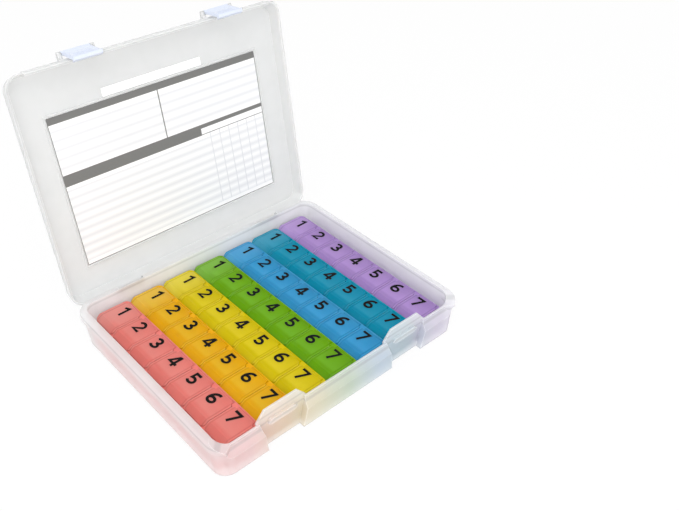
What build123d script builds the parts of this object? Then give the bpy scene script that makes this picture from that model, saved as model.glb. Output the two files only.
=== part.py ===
"""Weekly pill organizer: a hinged case that holds seven day trays, each with seven flip lids."""
import os
from math import cos, radians, sin, sqrt, tan
from build123d import *

# Days, left to right across the case
DAYS = ("sunday", "monday", "tuesday", "wednesday", "thursday", "friday", "saturday")
CELLS = 7

# Strip layout
strip_pitch = 33.0
strip_gap = 0.5
cell_pitch = 26.5

# Day tray
tray_height = 19.9
tray_side_wall = 1.4
tray_end_wall = 1.6
tray_floor = 1.4
tray_corner = 4.5
divider_wall = 1.4
scoop_radius = 7.0

# Flip lid and its snap hinge
lid_plate = 1.2
lid_gap = 0.8
lid_edge_inset = 0.25
lid_corner = 2.0
thumb_slope_run = 5.5
thumb_slope_drop = 3.4
hinge_inset = 2.25
hinge_drop = 0.3
barrel_radius = 1.1
barrel_length = 20.0
barrel_clearance = 0.25
barrel_end_clearance = 0.3
neck_low = 0.2
neck_high = 0.9
plate_setback = 2.0
rail_web = 1.15
socket_outer_angle = 30.0
socket_inner_angle = 186.0

# Case base
case_floor = 2.0
case_height = 34.6
case_wall = 2.4
case_corner = 12.0
side_gap = 6.85
end_gap_back = 2.65
end_gap_front = 5.35
flare = 1.6
lip_reach = 2.3
lip_height = 10.0
lip_slope_height = 2.5
lip_round = 2.9

# Low front: a collar on a sloped shoulder
front_drop = 6.1
collar_height = 2.5
collar_step = 2.1
collar_wall = 1.8
collar_half = 113.0
collar_fade = 20.0
shoulder_rise = 7.0
shoulder_wall = 2.0

# Locating fence for the trays
fence_clearance = 0.5
fence_wall = 1.3
fence_height = 7.0

# Latch recess, tower and catch bar
latch_place = 65.0
recess_half_foot = 17.0
recess_half_rim = 21.5
recess_wall = 1.7
recess_backing_clearance = 0.7
recess_border = 2.0
recess_overlap = 1.0
tower_rise = 3.4
tower_half_top = 15.5
catch_half = 14.0
catch_point = 3.0
catch_drop = 6.5
catch_thick = 5.0
catch_clearance = 0.6

# Case hinge, sunk in the rounded back lip
case_hinge_place = 75.0
case_hinge_sink = 0.4
knuckle_radius = 1.9
knuckle_clearance = 0.4
case_pin_radius = 1.1
case_pin_clearance = 0.2
case_pin_seat = 1.0
lid_knuckle_length = 24.0
knuckle_side_gap = 0.4

# Case lid
case_lid_height = 14.0
case_lid_gap = 0.3
case_lid_wall = 1.8
case_lid_panel = 2.0
case_lid_inset = 1.5
case_lid_taper = 1.6
case_lid_front_taper = 4.8
case_lid_round = 3.5
case_lid_front_step = 1.4
skirt_clearance = 0.6
open_angle = 99.6
card_width = 202.0
card_depth = 133.0
card_from_hinge = 25.5
card_frame_wall = 1.6
card_frame_height = 1.2

# Latch
latch_half = 12.0
latch_drop = 8.6
latch_lean_angle = 10.0
latch_plate = 1.8
latch_barrel = 1.9
latch_face_clearance = 0.6
latch_pin_radius = 0.9
latch_pin_clearance = 0.2
latch_ear = 3.0
latch_ear_gap = 0.4
latch_hook_clearance = 0.3
latch_hook_depth = 2.2
latch_hook_height = 3.0
latch_grip_reach = 1.0
latch_grip_height = 2.2
latch_rest_angle = 8.0
latch_swing_angle = 112.0

# One overrun serves every cut
overrun = 5.0

# Worked-out sizes
strip_width = strip_pitch - strip_gap
tray_length = CELLS * cell_pitch + tray_end_wall + tray_end_wall
tray_top = case_floor + tray_height
pocket_length = cell_pitch - divider_wall
hinge_x = strip_width / 2 - hinge_inset
hinge_z = tray_top - hinge_drop
socket_radius = barrel_radius + barrel_clearance
socket_length = barrel_length + barrel_end_clearance + barrel_end_clearance
pocket_left = tray_side_wall - strip_width / 2
pocket_right = hinge_x - socket_radius - rail_web
lid_left = lid_edge_inset - strip_width / 2
lid_length = cell_pitch - lid_gap
slope_x = thumb_slope_run - strip_width / 2
slope_share = thumb_slope_drop / thumb_slope_run
lid_left_foot = tray_top - slope_share * (slope_x - lid_left)
lid_top = tray_top + lid_plate

strips_half = (len(DAYS) * strip_pitch - strip_gap) / 2
cavity_half_x = strips_half + side_gap
cavity_back = (tray_length + end_gap_back + end_gap_front) / 2
foot_half_x = cavity_half_x + case_wall
foot_half_y = cavity_back + case_wall
flare_half_x = foot_half_x + flare
flare_half_y = foot_half_y + flare
lip_half_x = flare_half_x + lip_reach
lip_half_y = flare_half_y + lip_reach
lip_foot = case_height - lip_height
tray_shift = (end_gap_front - end_gap_back) / 2
tray_front = tray_shift - tray_length / 2
recess_inner = tray_front - recess_backing_clearance
recess_face = recess_inner - recess_wall
collar_face = recess_face - collar_step
cavity_front = collar_face + collar_wall
well_front = -cavity_back
cavity_corner = case_corner - case_wall
well_half = cavity_half_x - cavity_corner
front_rim = case_height - front_drop
shoulder_top = front_rim - collar_height
shoulder_foot = shoulder_top - shoulder_rise
shoulder_face = -(foot_half_y + flare * shoulder_foot / lip_foot)
tower_height = case_height + tower_rise
catch_low = front_rim - catch_drop
recess_slope_share = (recess_half_rim - recess_half_foot) / front_rim

case_lid_half_x = lip_half_x - case_lid_inset
case_lid_front = collar_face - case_lid_front_step
case_lid_back = lip_half_y - case_lid_inset
case_lid_foot = case_height + case_lid_gap
case_lid_top = case_lid_foot + case_lid_height
case_hinge_y = lip_half_y - lip_round
case_hinge_z = case_height - lip_round - case_hinge_sink
case_bore_radius = case_pin_radius + case_pin_clearance
hinge_slot_half = lid_knuckle_length / 2 + knuckle_side_gap
hinge_slot_reach = knuckle_radius + knuckle_clearance

skirt_foot = front_rim + case_lid_gap
skirt_half = well_half - skirt_clearance
latch_lean_share = tan(radians(latch_lean_angle))
latch_face = case_lid_front - latch_face_clearance
latch_axis_z = case_lid_top - latch_drop
latch_tip = catch_low - latch_hook_clearance - latch_hook_height


def cell_middle(cell):
    """Y of a cell's middle from the tray's own middle, the first cell at the back."""
    return ((CELLS - 1) / 2 - cell) * cell_pitch


def lid_front_at(z):
    """Y of the shut case lid's sloped front wall at a height."""
    return case_lid_front + case_lid_front_taper * (z - case_lid_foot) / case_lid_height


def latch_face_at(z):
    """Y of the shut latch's inner face, which leans in towards its hook, at a height."""
    return latch_face - latch_lean_share * (z - skirt_foot)


def back_plane(y):
    """A plane with X to the right and Z up, whose normal points to the front."""
    return Plane.XZ.offset(-y)


latch_axis_y = latch_face_at(latch_axis_z) - latch_plate / 2
catch_reach = recess_face - latch_face_at(catch_low) - catch_clearance

# Day tray with pockets, finger scoops and snap sockets
with BuildPart() as tray:
    with BuildSketch(Plane.XY.offset(case_floor)):
        RectangleRounded(strip_width, tray_length, tray_corner)
    extrude(amount=tray_height)
    with BuildSketch(back_plane(tray_length / 2 + overrun)):
        with BuildLine():
            far = overrun + strip_width / 2
            Polyline(
                (slope_x, tray_top), (slope_x, tray_top + overrun), (-far, tray_top + overrun),
                (-far, tray_top - slope_share * (slope_x + far)), close=True,
            )
        make_face()
    extrude(amount=tray_length + 2 * overrun, mode=Mode.SUBTRACT)
    for cell in range(CELLS):
        with BuildSketch(back_plane(cell_middle(cell) + pocket_length / 2)) as pocket:
            with Locations(((pocket_left + pocket_right) / 2, case_floor + tray_floor)):
                Rectangle(
                    pocket_right - pocket_left, tray_height, align=(Align.CENTER, Align.MIN)
                )
            foot = pocket.vertices().group_by(Axis.Z)[0].sort_by(Axis.X)[0]
            fillet(foot, scoop_radius)
        extrude(amount=pocket_length, mode=Mode.SUBTRACT)
        with BuildSketch(back_plane(cell_middle(cell) + socket_length / 2)):
            with Locations((hinge_x, hinge_z)):
                Circle(socket_radius)
            with BuildLine():
                reach = hinge_inset + overrun
                outer = (
                    hinge_x + reach * cos(radians(socket_outer_angle)),
                    hinge_z + reach * sin(radians(socket_outer_angle)),
                )
                inner = (
                    hinge_x + reach * cos(radians(socket_inner_angle)),
                    hinge_z + reach * sin(radians(socket_inner_angle)),
                )
                Polyline(
                    (hinge_x, hinge_z), outer, (outer[0], hinge_z + reach), (inner[0], hinge_z + reach),
                    inner, close=True,
                )
            make_face()
        extrude(amount=socket_length, mode=Mode.SUBTRACT)

# Flip lid with a sloped thumb edge and a hinge barrel on a neck
with BuildPart() as flip_lid:
    with BuildSketch(back_plane(lid_length / 2)):
        with BuildLine():
            Polyline(
                (lid_left, lid_left_foot), (slope_x, tray_top), (hinge_x - plate_setback, tray_top),
                (hinge_x - plate_setback, lid_top), (slope_x, lid_top),
                (lid_left, lid_left_foot + lid_plate), close=True,
            )
        make_face()
    extrude(amount=lid_length)
    with BuildSketch(Plane.XY.offset(lid_left_foot - overrun)) as plan:
        with Locations(((lid_left + hinge_x - plate_setback) / 2, 0)):
            Rectangle(hinge_x - plate_setback - lid_left, lid_length)
        chamfer(plan.vertices(), lid_corner)
    extrude(amount=thumb_slope_drop + lid_plate + 2 * overrun, mode=Mode.INTERSECT)
    with BuildSketch(back_plane(barrel_length / 2)):
        with Locations((hinge_x, hinge_z)):
            Circle(barrel_radius)
        with Locations((hinge_x, hinge_z + neck_low)):
            Rectangle(
                plate_setback + barrel_radius, neck_high - neck_low, align=(Align.MAX, Align.MIN)
            )
    extrude(amount=barrel_length)

# What is taken off the front for the shoulder, with ends that fade into the round corners
with BuildPart() as shoulder:
    with BuildSketch(Plane.YZ.offset(-collar_half - collar_fade)):
        with BuildLine():
            Polyline(
                (-lip_half_y - overrun, shoulder_foot), (shoulder_face, shoulder_foot),
                (collar_face, shoulder_top), (collar_face, tower_height + overrun),
                (-lip_half_y - overrun, tower_height + overrun), close=True,
            )
        make_face()
    extrude(amount=2 * (collar_half + collar_fade))
    with BuildSketch(Plane.XY.offset(shoulder_foot)):
        with BuildLine():
            Polyline(
                (-collar_half, collar_face), (collar_half, collar_face),
                (collar_half + collar_fade, -lip_half_y - overrun),
                (-collar_half - collar_fade, -lip_half_y - overrun), close=True,
            )
        make_face()
    extrude(amount=tower_height + overrun - shoulder_foot, mode=Mode.INTERSECT)

# Case base: flared tub with a rounded lip, a low front, latch recesses and a sunk hinge
with BuildPart() as base:
    with BuildSketch():
        RectangleRounded(2 * foot_half_x, 2 * foot_half_y, case_corner)
    with BuildSketch(Plane.XY.offset(lip_foot)):
        RectangleRounded(2 * flare_half_x, 2 * flare_half_y, case_corner + flare)
    loft()
    with BuildSketch(Plane.XY.offset(lip_foot)):
        RectangleRounded(2 * flare_half_x, 2 * flare_half_y, case_corner + flare)
    with BuildSketch(Plane.XY.offset(lip_foot + lip_slope_height)):
        RectangleRounded(2 * lip_half_x, 2 * lip_half_y, case_corner + flare + lip_reach)
    loft()
    with BuildSketch(Plane.XY.offset(lip_foot + lip_slope_height)):
        RectangleRounded(2 * lip_half_x, 2 * lip_half_y, case_corner + flare + lip_reach)
    extrude(amount=lip_height - lip_slope_height)
    fillet(base.faces().sort_by(Axis.Z)[-1].edges(), lip_round)
    with BuildSketch(Plane((0, (cavity_front + cavity_back) / 2, case_floor))):
        RectangleRounded(2 * cavity_half_x, cavity_back - cavity_front, cavity_corner)
    extrude(amount=case_height, mode=Mode.SUBTRACT)
    # Hollow under the sloped shoulder
    with BuildSketch(Plane.YZ.offset(-well_half)):
        with BuildLine():
            Polyline(
                (cavity_front + overrun, case_floor), (well_front, case_floor),
                (well_front, shoulder_foot - shoulder_wall), (cavity_front, shoulder_top - shoulder_wall),
                (cavity_front + overrun, shoulder_top - shoulder_wall), close=True,
            )
        make_face()
    extrude(amount=2 * well_half, mode=Mode.SUBTRACT)
    # Blocks that back the latch recesses and rise above the low front as towers
    for side in (-latch_place, latch_place):
        with BuildSketch(back_plane(recess_inner)):
            with BuildLine():
                foot = recess_half_foot + recess_border
                rim = recess_half_rim + recess_border
                Polyline(
                    (side - foot, 0), (side + foot, 0), (side + rim, front_rim),
                    (side + tower_half_top, tower_height), (side - tower_half_top, tower_height),
                    (side - rim, front_rim), close=True,
                )
            make_face()
        extrude(amount=recess_inner - well_front + recess_overlap)
    # The front is lower than the sides
    with BuildSketch(back_plane(recess_face)):
        with Locations((0, front_rim)):
            Rectangle(2 * well_half, tower_height, align=(Align.CENTER, Align.MIN))
    extrude(amount=lip_half_y + recess_face + overrun, mode=Mode.SUBTRACT)
    # The rim comes down round each front corner
    for side in (-1, 1):
        along = Vector(-side, -1, 0)
        start = (side * cavity_half_x, cavity_front + cavity_corner, 0)
        corner_run = cavity_corner * sqrt(2)
        with BuildSketch(Plane(start, x_dir=along, z_dir=along.cross(Vector(0, 0, 1)))):
            with BuildLine():
                Polyline(
                    (0, case_height), (corner_run, front_rim), (corner_run + overrun, front_rim),
                    (corner_run + overrun, tower_height + overrun), (0, tower_height + overrun), close=True,
                )
            make_face()
        extrude(amount=case_corner + flare + lip_reach + overrun, both=True, mode=Mode.SUBTRACT)
    # Shoulder that slopes in to the collar
    add(shoulder.part, mode=Mode.SUBTRACT)
    for side in (-latch_place, latch_place):
        # Recess that is open to the front and down to the table
        with BuildSketch(back_plane(recess_face)):
            with BuildLine():
                top = recess_half_foot + recess_slope_share * (tower_height + overrun)
                Polyline(
                    (side - recess_half_foot, 0), (side + recess_half_foot, 0),
                    (side + top, tower_height + overrun), (side - top, tower_height + overrun), close=True,
                )
            make_face()
        extrude(amount=lip_half_y + recess_face + overrun, mode=Mode.SUBTRACT)
        # Catch bar with pointed ends for the latch hook
        with BuildSketch(back_plane(recess_face)):
            with BuildLine():
                flat = catch_half - catch_point
                catch_middle = catch_low + catch_thick / 2
                Polyline(
                    (side - flat, catch_low), (side + flat, catch_low), (side + catch_half, catch_middle),
                    (side + flat, catch_low + catch_thick), (side - flat, catch_low + catch_thick),
                    (side - catch_half, catch_middle), close=True,
                )
            make_face()
        extrude(amount=catch_reach)
    # Fence that keeps the trays together on the floor
    with BuildSketch(Plane((0, tray_shift, case_floor))):
        fence_x = strips_half + fence_clearance
        fence_y = tray_length / 2 + fence_clearance
        Rectangle(2 * (fence_x + fence_wall), 2 * (fence_y + fence_wall))
        Rectangle(2 * fence_x, 2 * fence_y, mode=Mode.SUBTRACT)
    extrude(amount=fence_height)
    for place in (-case_hinge_place, case_hinge_place):
        # Slot in the back lip and the pin across it
        with BuildSketch(Plane.YZ.offset(place - hinge_slot_half)):
            with Locations((case_hinge_y - hinge_slot_reach, case_hinge_z - hinge_slot_reach)):
                Rectangle(
                    lip_round + hinge_slot_reach + overrun, case_height - case_hinge_z + hinge_slot_reach + overrun,
                    align=(Align.MIN, Align.MIN),
                )
        extrude(amount=2 * hinge_slot_half, mode=Mode.SUBTRACT)
        with BuildSketch(Plane.YZ.offset(place - hinge_slot_half - case_pin_seat)):
            with Locations((case_hinge_y, case_hinge_z)):
                Circle(case_pin_radius)
        extrude(amount=2 * (hinge_slot_half + case_pin_seat))

# Case lid, drawn closed and then swung open about the hinge
with BuildPart() as case_lid:
    with BuildSketch(Plane((0, (case_lid_front + case_lid_back) / 2, case_lid_foot))):
        RectangleRounded(2 * case_lid_half_x, case_lid_back - case_lid_front, case_corner)
    panel_front = case_lid_front + case_lid_front_taper
    panel_back = case_lid_back - case_lid_taper
    panel_half = case_lid_half_x - case_lid_taper
    with BuildSketch(Plane((0, (panel_front + panel_back) / 2, case_lid_top))):
        RectangleRounded(2 * panel_half, panel_back - panel_front, case_corner)
    loft()
    fillet(case_lid.faces().sort_by(Axis.Z)[-1].edges(), case_lid_round)
    with BuildSketch(Plane((0, (case_lid_front + case_lid_back) / 2, case_lid_foot))):
        RectangleRounded(
            2 * (case_lid_half_x - case_lid_wall), case_lid_back - case_lid_front - 2 * case_lid_wall,
            case_corner - case_lid_wall,
        )
    with BuildSketch(Plane((0, (panel_front + panel_back) / 2, case_lid_top - case_lid_panel))):
        RectangleRounded(
            2 * (panel_half - case_lid_wall), panel_back - panel_front - 2 * case_lid_wall,
            case_corner - case_lid_wall,
        )
    loft(mode=Mode.SUBTRACT)
    # Skirt that fills the low front of the base
    with BuildSketch(back_plane(case_lid_front + case_lid_wall)):
        with Locations((0, skirt_foot)):
            Rectangle(
                2 * skirt_half, case_lid_foot + case_lid_panel - skirt_foot, align=(Align.CENTER, Align.MIN)
            )
    extrude(amount=case_lid_wall)
    # Frame round the schedule card, inside the panel
    card_middle = case_hinge_y - card_from_hinge - card_depth / 2
    with BuildSketch(Plane((0, card_middle, case_lid_top - case_lid_panel))):
        Rectangle(card_width + 2 * card_frame_wall, card_depth + 2 * card_frame_wall)
        Rectangle(card_width, card_depth, mode=Mode.SUBTRACT)
    extrude(amount=-card_frame_height)
    for place in (-case_hinge_place, case_hinge_place):
        # Bored knuckle on an arm from the back wall
        with BuildSketch(Plane.YZ.offset(place - lid_knuckle_length / 2)):
            with Locations((case_hinge_y, case_hinge_z)):
                Circle(knuckle_radius)
            with BuildLine():
                arm_top = case_lid_foot + knuckle_radius
                Polyline(
                    (case_hinge_y - knuckle_radius, case_hinge_z), (case_lid_back - case_lid_wall, case_lid_foot),
                    (case_lid_back - case_lid_wall, arm_top), (case_lid_back, arm_top),
                    (case_lid_back, case_hinge_z), close=True,
                )
            make_face()
            with Locations((case_hinge_y, case_hinge_z)):
                Circle(case_bore_radius, mode=Mode.SUBTRACT)
        extrude(amount=lid_knuckle_length)
    for side in (-latch_place, latch_place):
        # Two ears and the latch pin between them
        ear_start = latch_half + latch_ear_gap
        for start in (side - ear_start - latch_ear, side + ear_start):
            with BuildSketch(Plane.YZ.offset(start)):
                with Locations((latch_axis_y, latch_axis_z)):
                    Circle(latch_barrel)
                with BuildLine():
                    ear_top = latch_axis_z + latch_barrel
                    ear_foot = latch_axis_z - 2 * latch_barrel
                    Polyline(
                        (latch_axis_y, ear_top), (lid_front_at(ear_top) + case_lid_wall / 2, ear_top),
                        (lid_front_at(ear_foot) + case_lid_wall / 2, ear_foot),
                        (lid_front_at(ear_foot), ear_foot), (latch_axis_y, latch_axis_z - latch_barrel),
                        close=True,
                    )
                make_face()
            extrude(amount=latch_ear)
        with BuildSketch(Plane.YZ.offset(side - ear_start)):
            with Locations((latch_axis_y, latch_axis_z)):
                Circle(latch_pin_radius)
        extrude(amount=2 * ear_start)

# Latch, drawn shut on the left of the middle plane
with BuildPart() as latch:
    with BuildSketch(Plane.YZ.offset(-latch_half)):
        with BuildLine():
            hook_top = catch_low - latch_hook_clearance
            grip_top = latch_tip + latch_grip_height
            Polyline(
                (latch_face_at(latch_axis_z), latch_axis_z), (latch_face_at(hook_top), hook_top),
                (latch_face_at(hook_top) + latch_hook_depth, hook_top), (latch_face_at(latch_tip), latch_tip),
                (latch_face_at(latch_tip) - latch_plate - latch_grip_reach, latch_tip),
                (latch_face_at(grip_top) - latch_plate, grip_top),
                (latch_face_at(latch_axis_z) - latch_plate, latch_axis_z), close=True,
            )
        make_face()
        with Locations((latch_axis_y, latch_axis_z)):
            Circle(latch_barrel)
            Circle(latch_pin_radius + latch_pin_clearance, mode=Mode.SUBTRACT)
    extrude(amount=2 * latch_half)

case_hinge = Axis((0, case_hinge_y, case_hinge_z), (1, 0, 0))
latch_hinge = Axis((0, latch_axis_y, latch_axis_z), (1, 0, 0))


def save(solid, name):
    """Name a finished solid and write its file."""
    solid.label = name
    export_step(solid, "parts/" + name + ".step")


os.makedirs("parts", exist_ok=True)
save(base.part, "case_base")
save(case_lid.part.rotate(case_hinge, -open_angle), "case_lid")
for name, side in (("left_latch", -latch_place), ("right_latch", latch_place)):
    loose = latch.part.rotate(latch_hinge, -latch_rest_angle).rotate(case_hinge, -open_angle)
    save(loose.moved(Location((side, 0, 0))), name)
for day, name in enumerate(DAYS):
    strip_x = (day - (len(DAYS) - 1) / 2) * strip_pitch
    save(tray.part.moved(Location((strip_x, tray_shift, 0))), name + "_tray")
    for cell in range(CELLS):
        lid_name = name + "_lid_" + str(cell + 1)
        save(flip_lid.part.moved(Location((strip_x, tray_shift + cell_middle(cell), 0))), lid_name)
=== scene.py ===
"""Weekly pill organizer, dressed for the camera: an open case with seven day trays and their flip lids."""
from __future__ import annotations

import logging
import math
from dataclasses import dataclass, field
from enum import Enum
from typing import Any, Optional, Sequence, Union

import bmesh
import bpy
from mathutils import Matrix, Vector


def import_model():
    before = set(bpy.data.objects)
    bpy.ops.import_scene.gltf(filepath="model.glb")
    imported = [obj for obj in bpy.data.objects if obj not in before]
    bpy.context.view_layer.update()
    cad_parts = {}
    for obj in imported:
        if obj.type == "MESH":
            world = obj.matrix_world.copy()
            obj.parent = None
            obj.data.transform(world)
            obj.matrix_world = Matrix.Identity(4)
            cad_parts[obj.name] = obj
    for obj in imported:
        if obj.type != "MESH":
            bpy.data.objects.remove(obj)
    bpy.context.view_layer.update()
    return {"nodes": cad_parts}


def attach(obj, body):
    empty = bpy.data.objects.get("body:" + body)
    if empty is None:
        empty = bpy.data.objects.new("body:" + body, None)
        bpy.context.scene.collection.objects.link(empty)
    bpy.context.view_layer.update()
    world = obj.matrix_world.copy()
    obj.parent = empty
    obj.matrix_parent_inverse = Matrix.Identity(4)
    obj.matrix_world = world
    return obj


log = logging.getLogger("pill_organizer")

MM = 0.001
IMAGE_WIDTH = 679
CELLS = 7
CORNER_STEPS = 6
BEVEL_SAMPLES = 4
STRIP_PITCH = 33 * MM
CELL_PITCH = 26.5 * MM
WHITE = (1.0, 1.0, 1.0, 1.0)
EVEN_SCATTER = (1.0, 1.0, 1.0)

Colour = tuple[float, float, float]
Flat = tuple[float, float]
Span = tuple[float, float]
Point = tuple[float, float, float]
Value = Union["Socket", float]

# The stretch in which most values of a noise lie
NOISE_SPAN: Span = (0.3, 0.7)

# Sockets of a Mix node that mixes colours
MIX_SHARE, MIX_FIRST, MIX_SECOND, MIX_RESULT = 0, 6, 7, 2


def linear(shade: Sequence[float]) -> Colour:
    """Turn a display colour into a linear one.

    Args:
        shade: Red, green and blue from 0 to 255.

    Returns:
        The linear colour.
    """
    parts = [value / 255.0 for value in shade]
    red, green, blue = [p / 12.92 if p <= 0.04045 else ((p + 0.055) / 1.055) ** 2.4 for p in parts]
    return (red, green, blue)


def darker(colour: Colour, share: float) -> Colour:
    """Scale a linear colour."""
    return (colour[0] * share, colour[1] * share, colour[2] * share)


def whitened(colour: Colour, white: float, gain: float) -> Colour:
    """Raise a linear colour and let some white in.

    Args:
        colour: The linear colour.
        white: What is added to each part.
        gain: What each part is multiplied by first.

    Returns:
        The lighter colour, held at white.
    """
    red, green, blue = [min(white + part * gain, 1.0) for part in colour]
    return (red, green, blue)


class Day(Enum):
    """The seven day trays from left to right, with the tint of their plastic in display values."""

    SUNDAY = ("sunday", (252, 134, 125))
    MONDAY = ("monday", (248, 178, 6))
    TUESDAY = ("tuesday", (224, 200, 0))
    WEDNESDAY = ("wednesday", (110, 172, 0))
    THURSDAY = ("thursday", (50, 153, 207))
    FRIDAY = ("friday", (0, 145, 177))
    SATURDAY = ("saturday", (175, 143, 208))

    def __init__(self, label: str, shade: tuple[int, int, int]) -> None:
        """Keep the tray's name and its tint."""
        self.label = label
        self.tint = linear(shade)


class Socket:
    """An output of a shader node, with the sums that this file writes."""

    def __init__(self, tree: "Tree", plug: bpy.types.NodeSocket) -> None:
        """Wrap one output of a node."""
        self.tree = tree
        self.plug = plug

    def math(self, operation: str, *values: Value) -> "Socket":
        """Add a Math node.

        Args:
            operation: The Math node's operation.
            values: Its inputs in order.

        Returns:
            The result.
        """
        return self.tree.node("ShaderNodeMath", {"operation": operation}, dict(enumerate(values)))

    def __add__(self, other: Value) -> "Socket":
        """Sum."""
        return self.math("ADD", self, other)

    __radd__ = __add__

    def __sub__(self, other: Value) -> "Socket":
        """Difference."""
        return self.math("SUBTRACT", self, other)

    def __rsub__(self, other: Value) -> "Socket":
        """Difference from a number."""
        return self.math("SUBTRACT", other, self)

    def __mul__(self, other: Value) -> "Socket":
        """Product."""
        return self.math("MULTIPLY", self, other)

    __rmul__ = __mul__

    def __truediv__(self, other: Value) -> "Socket":
        """Quotient."""
        return self.math("DIVIDE", self, other)

    def __rtruediv__(self, other: Value) -> "Socket":
        """Quotient of a number."""
        return self.math("DIVIDE", other, self)

    def __gt__(self, other: Value) -> "Socket":
        """One where this is greater."""
        return self.math("GREATER_THAN", self, other)

    def __lt__(self, other: Value) -> "Socket":
        """One where this is less."""
        return self.math("LESS_THAN", self, other)

    def __mod__(self, other: Value) -> "Socket":
        """Remainder, kept positive."""
        return self.math("FLOORED_MODULO", self, other)

    def within(self, low: float, high: float) -> "Socket":
        """One between two limits, and zero elsewhere."""
        return (self > low) * (self < high)

    def either(self, other: "Socket") -> "Socket":
        """The larger of two masks."""
        return self.math("MAXIMUM", self, other)

    def absolute(self) -> "Socket":
        """The value without its sign."""
        return self.math("ABSOLUTE", self)

    def fold(self, span: Value) -> "Socket":
        """Run up to a span and back down, over and over."""
        return self.math("PINGPONG", self, span)

    def ramp(self, low: float, high: float, start: float = 0.0, end: float = 1.0) -> "Socket":
        """Map a range of this value onto another, held at its ends.

        Args:
            low: The value that gives start.
            high: The value that gives end.
            start: The result at low.
            end: The result at high.

        Returns:
            The mapped value.
        """
        limits = {"From Min": low, "From Max": high, "To Min": start, "To Max": end}
        return self.tree.node("ShaderNodeMapRange", {"clamp": True}, {"Value": self, **limits})

    def spread(self, start: float, end: float) -> "Socket":
        """Map a noise onto a range."""
        return self.ramp(*NOISE_SPAN, start, end)


class Tree:
    """The node tree of a material or of the world."""

    def __init__(self, owner: Union[bpy.types.Material, bpy.types.World]) -> None:
        """Empty the owner's nodes.

        Args:
            owner: What the nodes belong to.
        """
        owner.use_nodes = True
        self.nodes = owner.node_tree.nodes
        self.links = owner.node_tree.links
        self.nodes.clear()

    def node(self, kind: str, settings: dict[str, Any], inputs: dict[Any, Any], output: Any = 0) -> Socket:
        """Add a node.

        Args:
            kind: The node's type.
            settings: Its settings, which are set first.
            inputs: Values or links by socket name or number.
            output: The socket to return.

        Returns:
            The chosen output.
        """
        made = self.nodes.new(kind)
        for name, value in settings.items():
            setattr(made, name, value)
        for key, value in inputs.items():
            if isinstance(value, Socket):
                self.links.new(value.plug, made.inputs[key])
            else:
                made.inputs[key].default_value = value
        return Socket(self, made.outputs[output] if made.outputs else made.inputs[0])

    def place(self) -> Socket:
        """The point on the object, in metres."""
        return self.node("ShaderNodeTexCoord", {}, {}, "Object")

    def axis(self, vector: Socket, name: str) -> Socket:
        """One coordinate of a vector."""
        return self.node("ShaderNodeSeparateXYZ", {}, {"Vector": vector}, name)

    def noise(self, vector: Socket, scale: float, detail: float = 2.0) -> Socket:
        """Soft noise from 0 to 1."""
        inputs = {"Vector": vector, "Scale": scale, "Detail": detail}
        return self.node("ShaderNodeTexNoise", {}, inputs, "Fac")

    def blend(self, share: Value, first: Any, second: Any) -> Socket:
        """Mix two colours.

        Args:
            share: How much of the second colour.
            first: A colour or a link.
            second: A colour or a link.

        Returns:
            The mixed colour.
        """
        ends = [part if isinstance(part, Socket) else (*part, 1.0) for part in (first, second)]
        inputs = {MIX_SHARE: share, MIX_FIRST: ends[0], MIX_SECOND: ends[1]}
        return self.node("ShaderNodeMix", {"data_type": "RGBA"}, inputs, MIX_RESULT)

    def rounded(self, radius: float) -> Socket:
        """The normal on edges that catch the light as rounded ones do."""
        return self.node("ShaderNodeBevel", {"samples": BEVEL_SAMPLES}, {"Radius": radius}, "Normal")

    def edge_share(self, rounded: Socket, sharp: float, flat: float) -> Socket:
        """One on sharp edges, and zero on flat faces.

        Args:
            rounded: The normal of the rounded edges.
            sharp: The match of the two normals that gives one.
            flat: The match that gives zero.

        Returns:
            The share.
        """
        plain = self.node("ShaderNodeNewGeometry", {}, {}, "Normal")
        normals = {0: rounded, 1: plain}
        match = self.node("ShaderNodeVectorMath", {"operation": "DOT_PRODUCT"}, normals, "Value")
        return match.ramp(sharp, flat, 1.0, 0.0)

    def bump(
        self, height: Socket, distance: float, strength: float, rounded: Optional[Socket] = None
    ) -> Socket:
        """Turn a height into a normal.

        Args:
            height: The height from 0 to 1.
            distance: What a height of 1 stands for, in metres.
            strength: How much of it shows.
            rounded: The normal that it is laid on, or none for the mesh's own.

        Returns:
            The normal.
        """
        inputs: dict[str, Any] = {"Height": height, "Distance": distance, "Strength": strength}
        if rounded is not None:
            inputs["Normal"] = rounded
        return self.node("ShaderNodeBump", {}, inputs, "Normal")

    def surface(self, inputs: dict[str, Any]) -> None:
        """Close the tree with a Principled shader."""
        shader = self.node("ShaderNodeBsdfPrincipled", {}, inputs)
        self.node("ShaderNodeOutputMaterial", {}, {"Surface": shader})


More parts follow.
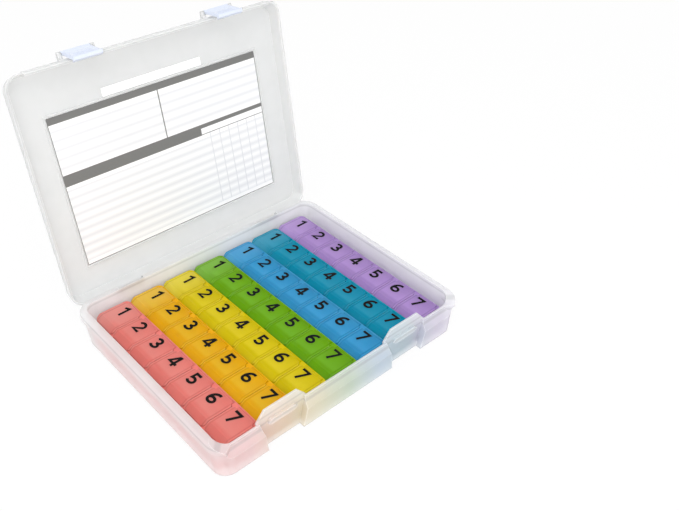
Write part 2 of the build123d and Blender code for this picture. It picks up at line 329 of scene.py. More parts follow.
@dataclass(frozen=True)
class FrostedCase:
    """Milky polypropylene of the case, with the trays' colours painted on its walls up to some height as a
    glow that stands in for their light through the plastic.
    """

    name: str
    shade: Colour
    # Painted glow: how much of the trays' tints is laid on the walls, fading upwards and towards the back
    painted_tray_glow: float = 0.0
    glow_fall: float = 5.0
    glow_foot: float = 15 * MM
    glow_top: float = 33 * MM
    back_start: float = 62 * MM
    back_end: float = 98 * MM
    back_glow: float = 0.12
    strip_pitch: float = STRIP_PITCH
    cover: float = 0.56
    cover_spread: float = 0.03
    cloud_scale: float = 22.0
    cloud_detail: float = 3.0
    cloud_shade: float = 0.95
    grain_scale: float = 2600.0
    grain_depth: float = 0.04 * MM
    grain_strength: float = 0.25
    roughness: Span = (0.34, 0.5)
    refraction: float = 1.49
    scatter: float = 0.85
    scatter_depth: float = 3 * MM
    edge: float = 0.7 * MM
    edge_sharp: float = 0.8
    edge_flat: float = 0.985
    # Painted highlight on the edges
    painted_edge_highlight: float = 0.55
    edge_cover: float = 0.2
    edge_highlight_white: Colour = linear((252, 252, 253))
    # Painted shade band under the rim, where shade falls in the crease
    painted_groove_shade: float = 0.0
    groove_shade_darkness: float = 0.6
    side_line: float = 31.8 * MM
    front_line: float = 24.8 * MM
    line_half: float = 1.3 * MM
    front_limit: float = -86 * MM

    def groove_shade_band(self, tree: Tree, point: Socket) -> Socket:
        """The painted shade band under the rim, where shade falls in the crease; it lies lower on the
        front.

        Args:
            tree: The material's nodes.
            point: The point on the object.

        Returns:
            One on the line, and zero elsewhere.
        """
        height = tree.axis(point, "Z")
        gaps = [(height - middle).absolute() for middle in (self.side_line, self.front_line)]
        side, low = [gap.ramp(self.line_half / 2, self.line_half, 1.0, 0.0) for gap in gaps]
        return side.either(low * (tree.axis(point, "Y") < self.front_limit))

    def painted_glow_colour(self, tree: Tree, point: Socket) -> Socket:
        """The tint of the nearest tray, painted on the walls as its glow.

        Args:
            tree: The material's nodes.
            point: The point on the object.

        Returns:
            The tint.
        """
        across = tree.axis(point, "X") / self.strip_pitch + len(Day) / 2
        first, *others = Day
        tint: Any = first.tint
        for index, day in enumerate(others, 1):
            tint = tree.blend(across.ramp(index - 0.5, index + 0.5), tint, day.tint)
        return tint

    def material(self) -> bpy.types.Material:
        """Build the finish.

        Returns:
            The material.
        """
        made = bpy.data.materials.new(self.name)
        tree = Tree(made)
        point = tree.place()
        cloud = tree.noise(point, self.cloud_scale, self.cloud_detail)
        grain = tree.noise(point, self.grain_scale)
        milk = tree.blend(cloud, darker(self.shade, self.cloud_shade), self.shade)
        # Painted glow: the nearest tray's tint, fading upwards and weaker at the back, stands in for the
        # trays' light through the walls
        if self.painted_tray_glow:
            least = self.painted_tray_glow / self.glow_fall
            share = tree.axis(point, "Z").ramp(self.glow_foot, self.glow_top, self.painted_tray_glow, least)
            back = tree.axis(point, "Y").ramp(self.back_start, self.back_end, 1.0, self.back_glow)
            milk = tree.blend(share * back, milk, self.painted_glow_colour(tree, point))
        # Painted shade: a darker band under the rim
        if self.painted_groove_shade:
            line = self.groove_shade_band(tree, point) * self.painted_groove_shade
            milk = tree.blend(line, milk, darker(self.shade, self.groove_shade_darkness))
        rounded = tree.rounded(self.edge)
        rim = tree.edge_share(rounded, self.edge_sharp, self.edge_flat)
        # Painted highlight: the edges are lightened towards white
        milk = tree.blend(rim * self.painted_edge_highlight, milk, self.edge_highlight_white)
        veil = cloud.spread(self.cover - self.cover_spread, self.cover + self.cover_spread)
        tree.surface({
            "Base Color": milk,
            "Roughness": grain.spread(*self.roughness),
            "Alpha": veil + rim * self.edge_cover,
            "IOR": self.refraction,
            "Subsurface Weight": self.scatter,
            "Subsurface Radius": EVEN_SCATTER,
            "Subsurface Scale": self.scatter_depth,
            "Normal": tree.bump(grain, self.grain_depth, self.grain_strength, rounded),
        })
        return made


@dataclass(frozen=True)
class TintedPlastic:
    """Clear tinted plastic of one day's tray or lids."""

    name: str
    tint: Colour
    cover: float
    # Painted highlights on the lids' rims and over their pockets, and painted light at their back end
    painted_rim_highlight: float = 0.0
    rim_reach: float = 2.0 * MM
    highlight_white: float = 0.03
    highlight_gain: float = 1.3
    painted_sheen_strength: float = 0.42
    sheen_rise: Span = (0.24, 0.32)
    sheen_fall: Span = (0.4, 0.86)
    painted_end_light: float = 0.75
    end_start: float = 64 * MM
    end_stop: float = 88 * MM
    end_white: float = 0.1
    end_gain: float = 1.15
    wall_line: float = 0.45
    wall_place: float = 2.2 * MM
    wall_width: float = 0.9 * MM
    wall_shade: float = 0.6
    strip_pitch: float = STRIP_PITCH
    cell_pitch: float = CELL_PITCH
    cell_start: float = -11.9 * MM
    cover_spread: float = 0.02
    swirl_scale: float = 60.0
    swirl_detail: float = 3.0
    swirl_shade: float = 0.9
    swirl_depth: float = 0.2 * MM
    swirl_strength: float = 0.12
    fine_scale: float = 900.0
    roughness: Span = (0.16, 0.26)
    refraction: float = 1.5
    specular: float = 0.15
    scatter: float = 0.7
    scatter_depth: float = 4 * MM
    edge: float = 0.3 * MM

    def lid_colour(self, tree: Tree, point: Socket, body: Socket) -> Socket:
        """Paint a sheen over the pockets, a lighter end towards the back, darker lines over the walls
        under the lids and highlights on the lids' rims.

        Args:
            tree: The material's nodes.
            point: The point on the object.
            body: The plain colour.

        Returns:
            The colour with its lines.
        """
        # Colour of the painted highlights and sheen
        bright = whitened(self.tint, self.highlight_white, self.highlight_gain)
        wall_end = self.wall_place + self.wall_width
        seam = (tree.axis(point, "Y") - self.cell_start).fold(self.cell_pitch / 2)
        across = (tree.axis(point, "X") / self.strip_pitch + len(Day) / 2) % 1.0
        # Painted sheen over each pocket
        pocket_sheen = across.ramp(*self.sheen_rise) * across.ramp(*self.sheen_fall, self.painted_sheen_strength, 0.0)
        body = tree.blend(pocket_sheen * seam.ramp(self.wall_place, wall_end), body, bright)
        # Painted light: the lids towards the back are lighter, as if lit through from behind
        end = tree.axis(point, "Y").ramp(self.end_start, self.end_stop, 0.0, self.painted_end_light)
        body = tree.blend(end, body, whitened(self.tint, self.end_white, self.end_gain))
        rise = seam.ramp(self.wall_place - self.wall_width, self.wall_place)
        wall = rise * seam.ramp(self.wall_place, wall_end, self.wall_line, 0.0)
        body = tree.blend(wall, body, darker(self.tint, self.wall_shade))
        # Painted highlight along the lids' rims
        return tree.blend(seam.ramp(0.0, self.rim_reach, self.painted_rim_highlight, 0.0), body, bright)

    def material(self) -> bpy.types.Material:
        """Build the finish.

        Returns:
            The material.
        """
        made = bpy.data.materials.new(self.name)
        tree = Tree(made)
        point = tree.place()
        swirl = tree.noise(point, self.swirl_scale, self.swirl_detail)
        fine = tree.noise(point, self.fine_scale)
        body = tree.blend(swirl, darker(self.tint, self.swirl_shade), self.tint)
        # Only lids get the painted highlights and painted light
        if self.painted_rim_highlight:
            body = self.lid_colour(tree, point, body)
        rounded = tree.rounded(self.edge)
        tree.surface({
            "Base Color": body,
            "Roughness": fine.spread(*self.roughness),
            "Alpha": swirl.spread(self.cover - self.cover_spread, self.cover + self.cover_spread),
            "IOR": self.refraction,
            "Specular IOR Level": self.specular,
            "Subsurface Weight": self.scatter,
            "Subsurface Radius": EVEN_SCATTER,
            "Subsurface Scale": self.scatter_depth,
            "Normal": tree.bump(swirl, self.swirl_depth, self.swirl_strength, rounded),
        })
        return made


@dataclass(frozen=True)
class PaleLatch:
    """Semi-gloss bluish white plastic of the snap latches."""

    name: str = "pale_latch"
    shade: Colour = linear((220, 227, 243))
    cloud_scale: float = 90.0
    cloud_shade: float = 0.92
    grain_scale: float = 2200.0
    grain_depth: float = 0.04 * MM
    grain_strength: float = 0.2
    roughness: Span = (0.24, 0.36)
    edge: float = 0.5 * MM

    def material(self) -> bpy.types.Material:
        """Build the finish.

        Returns:
            The material.
        """
        made = bpy.data.materials.new(self.name)
        tree = Tree(made)
        point = tree.place()
        cloud = tree.noise(point, self.cloud_scale)
        grain = tree.noise(point, self.grain_scale)
        rounded = tree.rounded(self.edge)
        tree.surface({
            "Base Color": tree.blend(cloud, darker(self.shade, self.cloud_shade), self.shade),
            "Roughness": grain.spread(*self.roughness),
            "Normal": tree.bump(grain, self.grain_depth, self.grain_strength, rounded),
        })
        return made


@dataclass(frozen=True)
class NumberInk:
    """Black printed ink of the lids' numbers."""

    name: str = "number_ink"
    dark: Colour = (0.002, 0.002, 0.002)
    light: Colour = (0.006, 0.005, 0.005)
    speck_scale: float = 1800.0
    roughness: Span = (0.5, 0.65)
    specular: float = 0.1

    def material(self) -> bpy.types.Material:
        """Build the finish.

        Returns:
            The material.
        """
        made = bpy.data.materials.new(self.name)
        tree = Tree(made)
        speck = tree.noise(tree.place(), self.speck_scale)
        tree.surface({
            "Base Color": tree.blend(speck, self.dark, self.light),
            "Roughness": speck.spread(*self.roughness),
            "Specular IOR Level": self.specular,
        })
        return made


@dataclass(frozen=True)
class PlainPaper:
    """White paper of the blank name strip."""

    name: str = "plain_paper"
    white: Colour = linear((252, 252, 252))
    fibre_scale: float = 700.0
    fibre_detail: float = 3.0
    fibre_shade: float = 0.97
    fibre_depth: float = 0.03 * MM
    fibre_strength: float = 0.2
    roughness: Span = (0.55, 0.75)

    def printed(self, tree: Tree, point: Socket, sheet: Socket) -> Socket:
        """The sheet's colour with its print, which is none here."""
        return sheet

    def material(self) -> bpy.types.Material:
        """Build the finish.

        Returns:
            The material.
        """
        made = bpy.data.materials.new(self.name)
        tree = Tree(made)
        point = tree.place()
        fibre = tree.noise(point, self.fibre_scale, self.fibre_detail)
        sheet = tree.blend(fibre, darker(self.white, self.fibre_shade), self.white)
        tree.surface({
            "Base Color": self.printed(tree, point, sheet),
            "Roughness": fibre.spread(*self.roughness),
            "Normal": tree.bump(fibre, self.fibre_depth, self.fibre_strength),
        })
        return made


@dataclass(frozen=True, kw_only=True)
class FormPaper(PlainPaper):
    """White card printed with a bare form: bars, boxes and pale rules, and no words.

    The form's places are shares of the card's width from its left and of its depth from its top.
    """

    width: float
    depth: float
    name: str = "form_paper"
    print_depth: float = 0.15 * MM
    rule: Colour = linear((220, 221, 224))
    bar: Colour = linear((118, 118, 116))
    right_start: float = 0.66
    upper_rows: Span = (0.08, 0.35)
    upper_count: float = 17.0
    lower_rows: Span = (0.47, 0.97)
    lower_count: float = 18.0
    rule_weight: float = 1.6
    column_rows: Span = (0.44, 0.97)
    column_count: float = 20.0
    column_share: float = 0.09
    side_edge: float = 0.0025
    end_edge: float = 0.004
    top_bar: Span = (0.0, 0.045)
    left_bar: Span = (0.37, 0.445)
    right_bars: Sequence[Span] = ((0.37, 0.397), (0.438, 0.443))
    split_place: Span = (0.488, 0.493)
    split_rows: Span = (0.045, 0.37)

    def rules(self, fall: Socket, rows: Span, count: float) -> Socket:
        """Soft rules over a stretch of the card, as many as the count would give to the whole."""
        return fall.within(*rows) * ((fall * count) % 1.0).fold(0.5) * self.rule_weight

    def printed(self, tree: Tree, point: Socket, sheet: Socket) -> Socket:
        """Lay the bare form on the card's face.

        Args:
            tree: The material's nodes.
            point: The point on the card.
            sheet: The paper's colour.

        Returns:
            The colour with its print.
        """
        across = tree.axis(point, "X") / self.width + 0.5
        fall = 0.5 - tree.axis(point, "Y") / self.depth
        face = tree.axis(point, "Z") > -self.print_depth
        right = across > self.right_start
        left = 1 - right
        comb = (across * self.column_count) % 1.0 < self.column_share
        rules = self.rules(fall, self.upper_rows, self.upper_count)
        rules = rules.either(self.rules(fall, self.lower_rows, self.lower_count))
        rules = rules.either(right * fall.within(*self.column_rows) * comb)
        inside = across.within(self.side_edge, 1 - self.side_edge)
        inside = inside * fall.within(self.end_edge, 1 - self.end_edge)
        bars = fall.within(*self.top_bar).either(left * fall.within(*self.left_bar))
        for rows in self.right_bars:
            bars = bars.either(right * fall.within(*rows))
        split = across.within(*self.split_place) * fall.within(*self.split_rows)
        ruled = tree.blend(rules * face, sheet, self.rule)
        return tree.blend(bars.either(split).either(1 - inside) * face, ruled, self.bar)


def dress(piece: bpy.types.Object, material: bpy.types.Material) -> None:
    """Give a piece one material."""
    piece.data.materials.clear()
    piece.data.materials.append(material)


def link(name: str, mesh: bpy.types.Mesh) -> bpy.types.Object:
    """Put a mesh in the scene as a piece.

    Args:
        name: The piece's name.
        mesh: Its mesh.

    Returns:
        The piece.
    """
    piece = bpy.data.objects.new(name, mesh)
    bpy.context.scene.collection.objects.link(piece)
    return piece


def place(piece: bpy.types.Object, where: Matrix, body: str) -> None:
    """Set a piece in its place at rest and let it ride on a body.

    Args:
        piece: The piece.
        where: Its place at rest.
        body: The body that carries it.
    """
    piece.matrix_world = where
    bpy.context.view_layer.update()
    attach(piece, body)


def rounded_outline(width: float, depth: float, corner: float) -> list[Flat]:
    """Points round a rectangle with arcs at its corners, anticlockwise.

    Args:
        width: The size along X.
        depth: The size along Y.
        corner: The corners' radius.

    Returns:
        The points.
    """
    points = []
    for turn, (x, y) in enumerate(((1, 1), (-1, 1), (-1, -1), (1, -1))):
        for step in range(CORNER_STEPS + 1):
            angle = (turn + step / CORNER_STEPS) * math.pi / 2
            points.append((
                x * (width / 2 - corner) + corner * math.cos(angle),
                y * (depth / 2 - corner) + corner * math.sin(angle),
            ))
    return points


def level_ring(width: float, depth: float, corner: float, z: float) -> list[Point]:
    """Points round a rectangle with arcs at its corners, at one height."""
    return [(x, y, z) for x, y in rounded_outline(width, depth, corner)]


def lofted(name: str, rings: Sequence[Sequence[Point]], closed: bool) -> bpy.types.Mesh:
    """Join rings of points into a skin.

    Args:
        name: The mesh's name.
        rings: Rings with the same number of points.
        closed: True where the last ring joins the first, False where both ends are capped.

    Returns:
        The mesh.
    """
    work = bmesh.new()
    loops = [[work.verts.new(point) for point in ring] for ring in rings]
    pairs = list(zip(loops, loops[1:])) + ([(loops[-1], loops[0])] if closed else [])
    for low, high in pairs:
        for index in range(len(low)):
            after = (index + 1) % len(low)
            work.faces.new((low[index], low[after], high[after], high[index]))
    if not closed:
        work.faces.new(list(reversed(loops[0])))
        work.faces.new(loops[-1])
    bmesh.ops.recalc_face_normals(work, faces=work.faces)
    mesh = bpy.data.meshes.new(name)
    work.to_mesh(mesh)
    work.free()
    return mesh


def thin_sheet(name: str, width: float, depth: float, corner: float, thickness: float) -> bpy.types.Mesh:
    """A flat sheet with round corners, its face at Z 0 and its back below.

    Args:
        name: The mesh's name.
        width: The size along X.
        depth: The size along Y.
        corner: The corners' radius.
        thickness: How thick it is.

    Returns:
        The mesh.
    """
    return lofted(name, [level_ring(width, depth, corner, z) for z in (-thickness, 0.0)], False)


def turn_about(y: float, z: float, angle: float) -> Matrix:
    """A turn about a line along X.

    Args:
        y: The line's Y.
        z: The line's Z.
        angle: The turn in degrees.

    Returns:
        The turn.
    """
    centre = Matrix.Translation((0.0, y, z))
    return centre @ Matrix.Rotation(math.radians(angle), 4, "X") @ centre.inverted()


@dataclass
class CaseShell:
    """The case's base and cover, and the swing that opens the cover."""

    hinge_y: float = 101.75 * MM
    hinge_z: float = 31.3 * MM
    open_angle: float = 99.6
    panel_inside: float = 46.9 * MM
    base_shade: Colour = linear((238, 239, 240))
    cover_shade: Colour = linear((228, 229, 229))
    # Share of the trays' tints painted on the base as their glow
    painted_tray_glow: float = 0.29
    # Share of the painted shade band under the rim
    painted_groove_shade: float = 0.5

    def swing(self) -> Matrix:
        """The turn from the shut cover to the open one."""
        return turn_about(self.hinge_y, self.hinge_z, -self.open_angle)

    def build(self, nodes: dict[str, bpy.types.Object]) -> list[bpy.types.Object]:
        """Dress the base and the cover.

        Args:
            nodes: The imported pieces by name.

        Returns:
            The pieces.
        """
        base = FrostedCase("frosted_base", self.base_shade, self.painted_tray_glow, painted_groove_shade=self.painted_groove_shade)
        cover = FrostedCase("frosted_cover", self.cover_shade)
        finishes = {"case_base": base, "case_lid": cover}
        for name, finish in finishes.items():
            dress(nodes[name], finish.material())
        return [nodes[name] for name in finishes]


@dataclass
class SnapLatches:
    """The two latches on the cover's front wall, each with a raised border and grip ribs."""

    shell: CaseShell
    place_x: float = 65.0 * MM
    axis_y: float = -102.428 * MM
    axis_z: float = 40.3 * MM
    rest_angle: float = 8.0
    lean: float = 10.0
    plate: float = 1.8 * MM
    border_width: float = 23.0 * MM
    border_depth: float = 17.0 * MM
    border_wall: float = 1.5 * MM
    border_height: float = 0.7 * MM
    border_from_axis: float = 11.2 * MM
    corner: float = 1.6 * MM
    rib_count: int = 3
    rib_width: float = 14.0 * MM
    rib_pitch: float = 1.9 * MM
    rib_start: float = 16.0 * MM
    rib_foot: float = 1.0 * MM
    rib_foot_corner: float = 0.45 * MM
    rib_crest: float = 0.5 * MM
    rib_crest_corner: float = 0.2 * MM
    rib_height: float = 0.45 * MM
    crest_trim: float = 0.4 * MM
    sink: float = 0.2 * MM
    finish: PaleLatch = field(default_factory=PaleLatch)

    def face(self, along: float) -> Matrix:
        """A frame on the latch's outer face at rest.

        Args:
            along: How far from the pin towards the free end.

        Returns:
            A matrix with X across, Y towards the pin and Z out of the face.
        """
        lean = math.radians(self.lean)
        toward_pin = Vector((0.0, -math.sin(lean), math.cos(lean)))
        outward = Vector((0.0, -math.cos(lean), -math.sin(lean)))
        spot = Vector((0.0, self.axis_y, self.axis_z)) - toward_pin * along + outward * (self.plate / 2)
        columns = Matrix((Vector((1.0, 0.0, 0.0)), toward_pin, outward)).transposed().to_4x4()
        rest = self.shell.swing() @ turn_about(self.axis_y, self.axis_z, -self.rest_angle)
        return rest @ (Matrix.Translation(spot) @ columns)

    def border(self) -> bpy.types.Mesh:
        """The raised border as a ring with a sloped inside.

        Returns:
            The mesh.
        """
        width, depth, height = self.border_width, self.border_depth, self.border_height
        trim = 2 * self.border_wall
        return lofted("latch_border", [
            level_ring(width, depth, self.corner, -self.sink),
            level_ring(width - self.crest_trim, depth - self.crest_trim, self.corner, height),
            level_ring(width - trim, depth - trim, self.corner / 2, height),
            level_ring(width - 2 * trim, depth - 2 * trim, self.corner / 2, -self.sink),
        ], True)

    def rib(self) -> bpy.types.Mesh:
        """One grip rib with sloped sides.

        Returns:
            The mesh.
        """
        crest = self.rib_width - self.crest_trim
        return lofted("latch_rib", [
            level_ring(self.rib_width, self.rib_foot, self.rib_foot_corner, -self.sink),
            level_ring(crest, self.rib_crest, self.rib_crest_corner, self.rib_height),
        ], False)

    def build(self, nodes: dict[str, bpy.types.Object]) -> list[bpy.types.Object]:
        """Dress both latches and add their raised borders and ribs.

        Args:
            nodes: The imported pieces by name.

        Returns:
            The pieces.
        """
        material = self.finish.material()
        border, rib = self.border(), self.rib()
        for mesh in (border, rib):
            mesh.materials.append(material)
        pieces = []
        for side, name in ((-self.place_x, "left_latch"), (self.place_x, "right_latch")):
            dress(nodes[name], material)
            across = Matrix.Translation((side, 0.0, 0.0))
            ring = link(name + "_border", border)
            place(ring, across @ self.face(self.border_from_axis), name)
            pieces += [nodes[name], ring]
            for index in range(self.rib_count):
                ridge = link("%s_rib_%d" % (name, index + 1), rib)
                place(ridge, across @ self.face(self.rib_start - index * self.rib_pitch), name)
                pieces.append(ridge)
        return pieces


@dataclass
class ScheduleCard:
    """The paper form inside the cover, and a blank name strip above it."""

    shell: CaseShell
    width: float = 202.0 * MM
    depth: float = 133.0 * MM
    from_hinge: float = 25.5 * MM
    margin: float = 0.5 * MM
    corner: float = 1.0 * MM
    thickness: float = 0.3 * MM
    clearance: float = 0.1 * MM
    strip_width: float = 95.0 * MM
    strip_depth: float = 7.4 * MM
    strip_shift: float = -3.0 * MM
    strip_gap: float = 2.2 * MM

    def seat(self, x: float, y: float) -> Matrix:
        """The place of a sheet's middle against the open cover's panel, its face to the inside.

        Args:
            x: The middle's X.
            y: The middle's Y with the cover shut.

        Returns:
            The place at rest.
        """
        spot = Matrix.Translation((x, y, self.shell.panel_inside - self.clearance - self.thickness))
        return self.shell.swing() @ spot @ Matrix.Rotation(math.pi, 4, "X")

    def sheet(
        self, name: str, width: float, depth: float, paper: PlainPaper, where: Matrix
    ) -> bpy.types.Object:
        """Make one sheet and hang it on the cover.

        Args:
            name: The sheet's name.
            width: Its size along X.
            depth: Its size along Y.
            paper: Its finish.
            where: Its place at rest.

        Returns:
            The piece.
        """
        piece = link(name, thin_sheet(name, width, depth, self.corner, self.thickness))
        dress(piece, paper.material())
        place(piece, where, "cover")
        return piece

    def build(self) -> list[bpy.types.Object]:
        """Make both sheets and hang them on the cover.

        Returns:
            The pieces.
        """
        middle = self.shell.hinge_y - self.from_hinge - self.depth / 2
        above = middle - self.depth / 2 - self.strip_gap - self.strip_depth / 2
        width, depth = self.width - 2 * self.margin, self.depth - 2 * self.margin
        form = FormPaper(width=width, depth=depth)
        strip = self.strip_width, self.strip_depth
        return [
            self.sheet("schedule_card", width, depth, form, self.seat(0.0, middle)),
            self.sheet("name_strip", *strip, PlainPaper(), self.seat(self.strip_shift, above)),
        ]


@dataclass(frozen=True)
class Arc:
    """A round stretch of a number's line: an ellipse's middle, half sizes, and first and last angle."""

    x: float
    y: float
    half_width: float
    half_height: float
    first: float
    last: float
    steps: int = 14

    def points(self) -> list[Flat]:
        """Points along the stretch.

        Returns:
            The points from the first angle to the last.
        """
        turn = (self.last - self.first) / self.steps
        angles = [math.radians(self.first + turn * step) for step in range(self.steps + 1)]
        return [
            (self.x + self.half_width * math.cos(angle), self.y + self.half_height * math.sin(angle))
            for angle in angles
        ]


Stroke = Sequence[Union[Arc, Flat]]

# Each number's pen strokes, in shares of its height
NUMBER_STROKES: dict[int, Sequence[Stroke]] = {
    1: [[(0.10, 0.73), (0.36, 0.90), (0.36, 0.0)]],
    2: [[Arc(0.29, 0.66, 0.225, 0.24, 165, -28), (0.09, 0.10), (0.56, 0.10)]],
    3: [[Arc(0.27, 0.695, 0.195, 0.205, 155, -80), Arc(0.27, 0.29, 0.235, 0.19, 80, -155)]],
    4: [[(0.38, 0.94), (0.07, 0.27), (0.64, 0.27)], [(0.44, 1.0), (0.44, 0.0)]],
    5: [[(0.53, 0.90), (0.16, 0.90), Arc(0.285, 0.33, 0.235, 0.23, 128, -150)]],
    6: [[Arc(0.30, 0.31, 0.225, 0.21, 128, 488, 26)], [Arc(0.46, 0.34, 0.385, 0.56, 78, 180)]],
    7: [[(0.04, 0.90), (0.54, 0.90), (0.20, 0.0)]],
}


@dataclass
class NumberPrint:
    """The printed numbers: flat plates cut along a pen's strokes."""

    height: float = 12.4 * MM
    width_share: float = 1.22
    pen: float = 2.4 * MM
    thickness: float = 0.06 * MM
    mitre_limit: float = 1.7
    ring_gap: float = 0.24 * MM
    stroke_lift: float = 0.02 * MM
    least_match: float = 0.1

    def line(self, stroke: Stroke) -> list[Vector]:
        """The middle line of a stroke.

        Args:
            stroke: The pen stroke.

        Returns:
            Its points in metres.
        """
        flat: list[Flat] = []
        for part in stroke:
            flat += part.points() if isinstance(part, Arc) else [part]
        return [Vector((x * self.width_share * self.height, y * self.height)) for x, y in flat]

    def edges(self, line: list[Vector], ring: bool) -> list[tuple[Vector, Vector]]:
        """The two edges of a stroke at each point of its line.

        Args:
            line: The middle line.
            ring: True where the line closes on itself.

        Returns:
            A left and a right point for each point of the line.
        """
        count = len(line)
        pairs = []
        for index, spot in enumerate(line):
            before = line[(index - 1) % count] if ring or index > 0 else None
            after = line[(index + 1) % count] if ring or index < count - 1 else None
            headings = [(spot - before).normalized()] if before is not None else []
            headings += [(after - spot).normalized()] if after is not None else []
            sides = [Vector((-way.y, way.x)) for way in headings]
            side = (sides[0] + sides[-1]).normalized()
            match = max(side.dot(sides[0]), self.least_match)
            offset = side * (self.pen / 2 * min(1.0 / match, self.mitre_limit))
            pairs.append((spot + offset, spot - offset))
        return pairs

    def plate(self, work: bmesh.types.BMesh, stroke: Stroke, lift: float) -> None:
        """Add one stroke as a closed thin plate.

        Args:
            work: The mesh in work.
            stroke: The pen stroke.
            lift: How much higher its face lies than the first stroke's.
        """
        line = self.line(stroke)
        ring = (line[0] - line[-1]).length < self.ring_gap
        line = line[:-1] if ring else line
        top = self.thickness + lift
        rows = []
        for left, right in self.edges(line, ring):
            corners = ((left, 0.0), (right, 0.0), (right, top), (left, top))
            rows.append([work.verts.new((flat.x, flat.y, z)) for flat, z in corners])
        pairs = list(zip(rows, rows[1:])) + ([(rows[-1], rows[0])] if ring else [])
        for first, second in pairs:
            for corner in range(len(first)):
                after = (corner + 1) % len(first)
                work.faces.new((first[corner], first[after], second[after], second[corner]))
        if not ring:
            work.faces.new(list(reversed(rows[0])))
            work.faces.new(rows[-1])

    def mesh(self, number: int) -> bpy.types.Mesh:
        """One number, centred, with its top towards +Y and its face up.

        Args:
            number: The number.

        Returns:
            The mesh.
        """
        work = bmesh.new()
        for index, stroke in enumerate(NUMBER_STROKES[number]):
            self.plate(work, stroke, index * self.stroke_lift)
        bmesh.ops.recalc_face_normals(work, faces=work.faces)
        xs = [vert.co.x for vert in work.verts]
        middle = Vector(((min(xs) + max(xs)) / 2, self.height / 2, 0.0))
        bmesh.ops.translate(work, verts=work.verts, vec=-middle)
        mesh = bpy.data.meshes.new("number_%d" % number)
        work.to_mesh(mesh)
        work.free()
        return mesh


@dataclass
class DayTrays:
    """Seven trays, each with seven numbered flip lids."""

    strip_pitch: float = STRIP_PITCH
    cell_pitch: float = CELL_PITCH
    tray_shift: float = 1.35 * MM
    lid_top: float = 23.1 * MM
    number_x: float = 5.4 * MM
    number_y: float = 3.18 * MM
    lid_cover: float = 0.72
    tray_cover: float = 0.85
    # Painted highlight on the lids' rims
    painted_rim_highlight: float = 0.75
    numbers: NumberPrint = field(default_factory=NumberPrint)

    def number_place(self, day: int, cell: int) -> Matrix:
        """Where a number lies on its shut lid, its top towards the lid's hinge.

        Args:
            day: The tray, counted from 0 at the left.
            cell: The cell, counted from 0 at the back.

        Returns:
            The place at rest.
        """
        middle = (CELLS - 1) / 2
        x = (day - middle) * self.strip_pitch + self.number_x
        y = self.tray_shift + (middle - cell) * self.cell_pitch + self.number_y
        return Matrix.Translation((x, y, self.lid_top)) @ Matrix.Rotation(math.radians(-90), 4, "Z")

    def build(self, nodes: dict[str, bpy.types.Object]) -> list[bpy.types.Object]:
        """Dress the trays and lids and print the numbers.

        Args:
            nodes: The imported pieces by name.

        Returns:
            The pieces.
        """
        ink = NumberInk().material()
        prints = [self.numbers.mesh(cell + 1) for cell in range(CELLS)]
        for mesh in prints:
            mesh.materials.append(ink)
        pieces = []
        for index, day in enumerate(Day):
            tray = day.label + "_tray"
            dress(nodes[tray], TintedPlastic(tray, day.tint, self.tray_cover).material())
            pieces.append(nodes[tray])
            finish = TintedPlastic(day.label + "_lid", day.tint, self.lid_cover, self.painted_rim_highlight).material()
            for cell in range(CELLS):
                lid = "%s_lid_%d" % (day.label, cell + 1)
                dress(nodes[lid], finish)
                number = link("%s_number_%d" % (day.label, cell + 1), prints[cell])
                place(number, self.number_place(index, cell), lid)
                pieces += [nodes[lid], number]
        return pieces


@dataclass(frozen=True)
class Lamp:
    """A soft square lamp: where it hangs, what it points at, its power in watts and its width."""

    name: str
    spot: Point
    aim: Point
    power: float
    size: float = 0.9

    def hang(self) -> None:
        """Put the lamp in the scene."""
        data = bpy.data.lights.new(self.name, "AREA")
        data.shape = "SQUARE"
        data.size = self.size
        data.energy = self.power
        lamp = bpy.data.objects.new(self.name, data)
        bpy.context.scene.collection.objects.link(lamp)
        lamp.location = self.spot
        lamp.rotation_euler = (Vector(self.aim) - Vector(self.spot)).to_track_quat("-Z", "Y").to_euler()


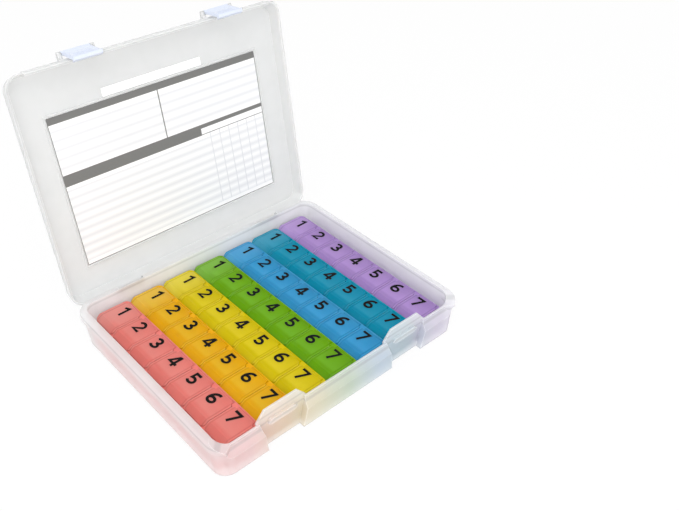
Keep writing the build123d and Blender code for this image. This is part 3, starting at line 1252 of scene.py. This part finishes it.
@dataclass
class Studio:
    """Floor, light and camera."""

    eye: Point = (-0.310607, -0.421779, 0.484085)
    azimuth: float = 42.7389
    elevation: float = 37.4522
    roll: float = 0.9651
    focal_pixels: float = 808.601
    sensor: float = 36.0
    floor_half: float = 3.0
    floor_white: float = 0.88
    ambient: float = 0.9
    floor_shade: float = 0.92
    near: float = 0.01
    far: float = 20.0
    lamps: Sequence[Lamp] = (
        Lamp("key_lamp", (-0.5, -0.5, 1.3), (0.0, 0.0, 0.05), 6.2),
        Lamp("front_lamp", (-0.7, -1.1, 0.5), (0.0, 0.0, 0.1), 4.2),
    )

    def backdrop_rays(self, tree: Tree) -> Socket:
        """Pick the rays that should meet a white backdrop.

        Args:
            tree: The nodes of the floor or of the world.

        Returns:
            One for those rays, and zero for the others.
        """
        kinds = [
            tree.node("ShaderNodeLightPath", {}, {}, kind)
            for kind in ("Is Camera Ray", "Is Glossy Ray", "Is Transmission Ray")
        ]
        return kinds[0].either(kinds[1]).either(kinds[2])

    def floor(self) -> None:
        """Lay a pale floor that keeps a soft shadow."""
        half = self.floor_half
        mesh = bpy.data.meshes.new("studio_floor")
        corners = [(-half, -half, 0.0), (half, -half, 0.0), (half, half, 0.0), (-half, half, 0.0)]
        mesh.from_pydata(corners, [], [(0, 1, 2, 3)])
        plane = link("studio_floor", mesh)
        material = bpy.data.materials.new("studio_floor")
        tree = Tree(material)
        shade = (self.floor_shade, self.floor_shade, self.floor_shade, 1.0)
        matt = tree.node("ShaderNodeBsdfDiffuse", {}, {"Color": shade})
        bright = tree.node("ShaderNodeEmission", {}, {"Color": WHITE, "Strength": 1.0})
        share = self.backdrop_rays(tree) * self.floor_white
        mixed = tree.node("ShaderNodeMixShader", {}, {0: share, 1: matt, 2: bright})
        tree.node("ShaderNodeOutputMaterial", {}, {"Surface": mixed})
        dress(plane, material)

    def world(self) -> None:
        """Light the scene evenly from all round, before a white backdrop."""
        world = bpy.data.worlds.new("studio_world")
        bpy.context.scene.world = world
        tree = Tree(world)
        glow = tree.node("ShaderNodeBackground", {}, {"Color": WHITE, "Strength": self.ambient})
        drop = tree.node("ShaderNodeBackground", {}, {"Color": WHITE, "Strength": 1.0})
        mixed = tree.node("ShaderNodeMixShader", {}, {0: self.backdrop_rays(tree), 1: glow, 2: drop})
        tree.node("ShaderNodeOutputWorld", {}, {"Surface": mixed})

    def camera(self) -> None:
        """Set the camera at the photograph's eye."""
        azimuth, elevation = math.radians(self.azimuth), math.radians(self.elevation)
        roll = math.radians(self.roll)
        level = math.cos(elevation)
        forward = Vector((math.sin(azimuth) * level, math.cos(azimuth) * level, -math.sin(elevation)))
        right = forward.cross(Vector((0.0, 0.0, 1.0))).normalized()
        up = right.cross(forward)
        tilted_right = math.cos(roll) * right + math.sin(roll) * up
        tilted_up = -math.sin(roll) * right + math.cos(roll) * up
        data = bpy.data.cameras.new("photo_camera")
        data.sensor_fit = "HORIZONTAL"
        data.sensor_width = self.sensor
        data.lens = self.focal_pixels * self.sensor / IMAGE_WIDTH
        data.clip_start = self.near
        data.clip_end = self.far
        camera = bpy.data.objects.new("photo_camera", data)
        bpy.context.scene.collection.objects.link(camera)
        turn = Matrix((tilted_right, tilted_up, -forward)).transposed().to_4x4()
        camera.matrix_world = Matrix.Translation(self.eye) @ turn
        bpy.context.scene.camera = camera

    def build(self) -> None:
        """Set up the studio."""
        bpy.context.scene.view_settings.view_transform = "Standard"
        self.floor()
        self.world()
        for lamp in self.lamps:
            lamp.hang()
        self.camera()


def main() -> None:
    """Build every sub-assembly in order and report each piece."""
    logging.basicConfig(level=logging.INFO)
    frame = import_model()
    nodes = frame["nodes"]
    shell = CaseShell()
    pieces = shell.build(nodes)
    pieces += SnapLatches(shell).build(nodes)
    pieces += ScheduleCard(shell).build()
    pieces += DayTrays().build(nodes)
    for piece in pieces:
        log.info("piece %s", piece.name)
    Studio().build()
    log.info("studio")


if __name__ == "__main__":
    main()
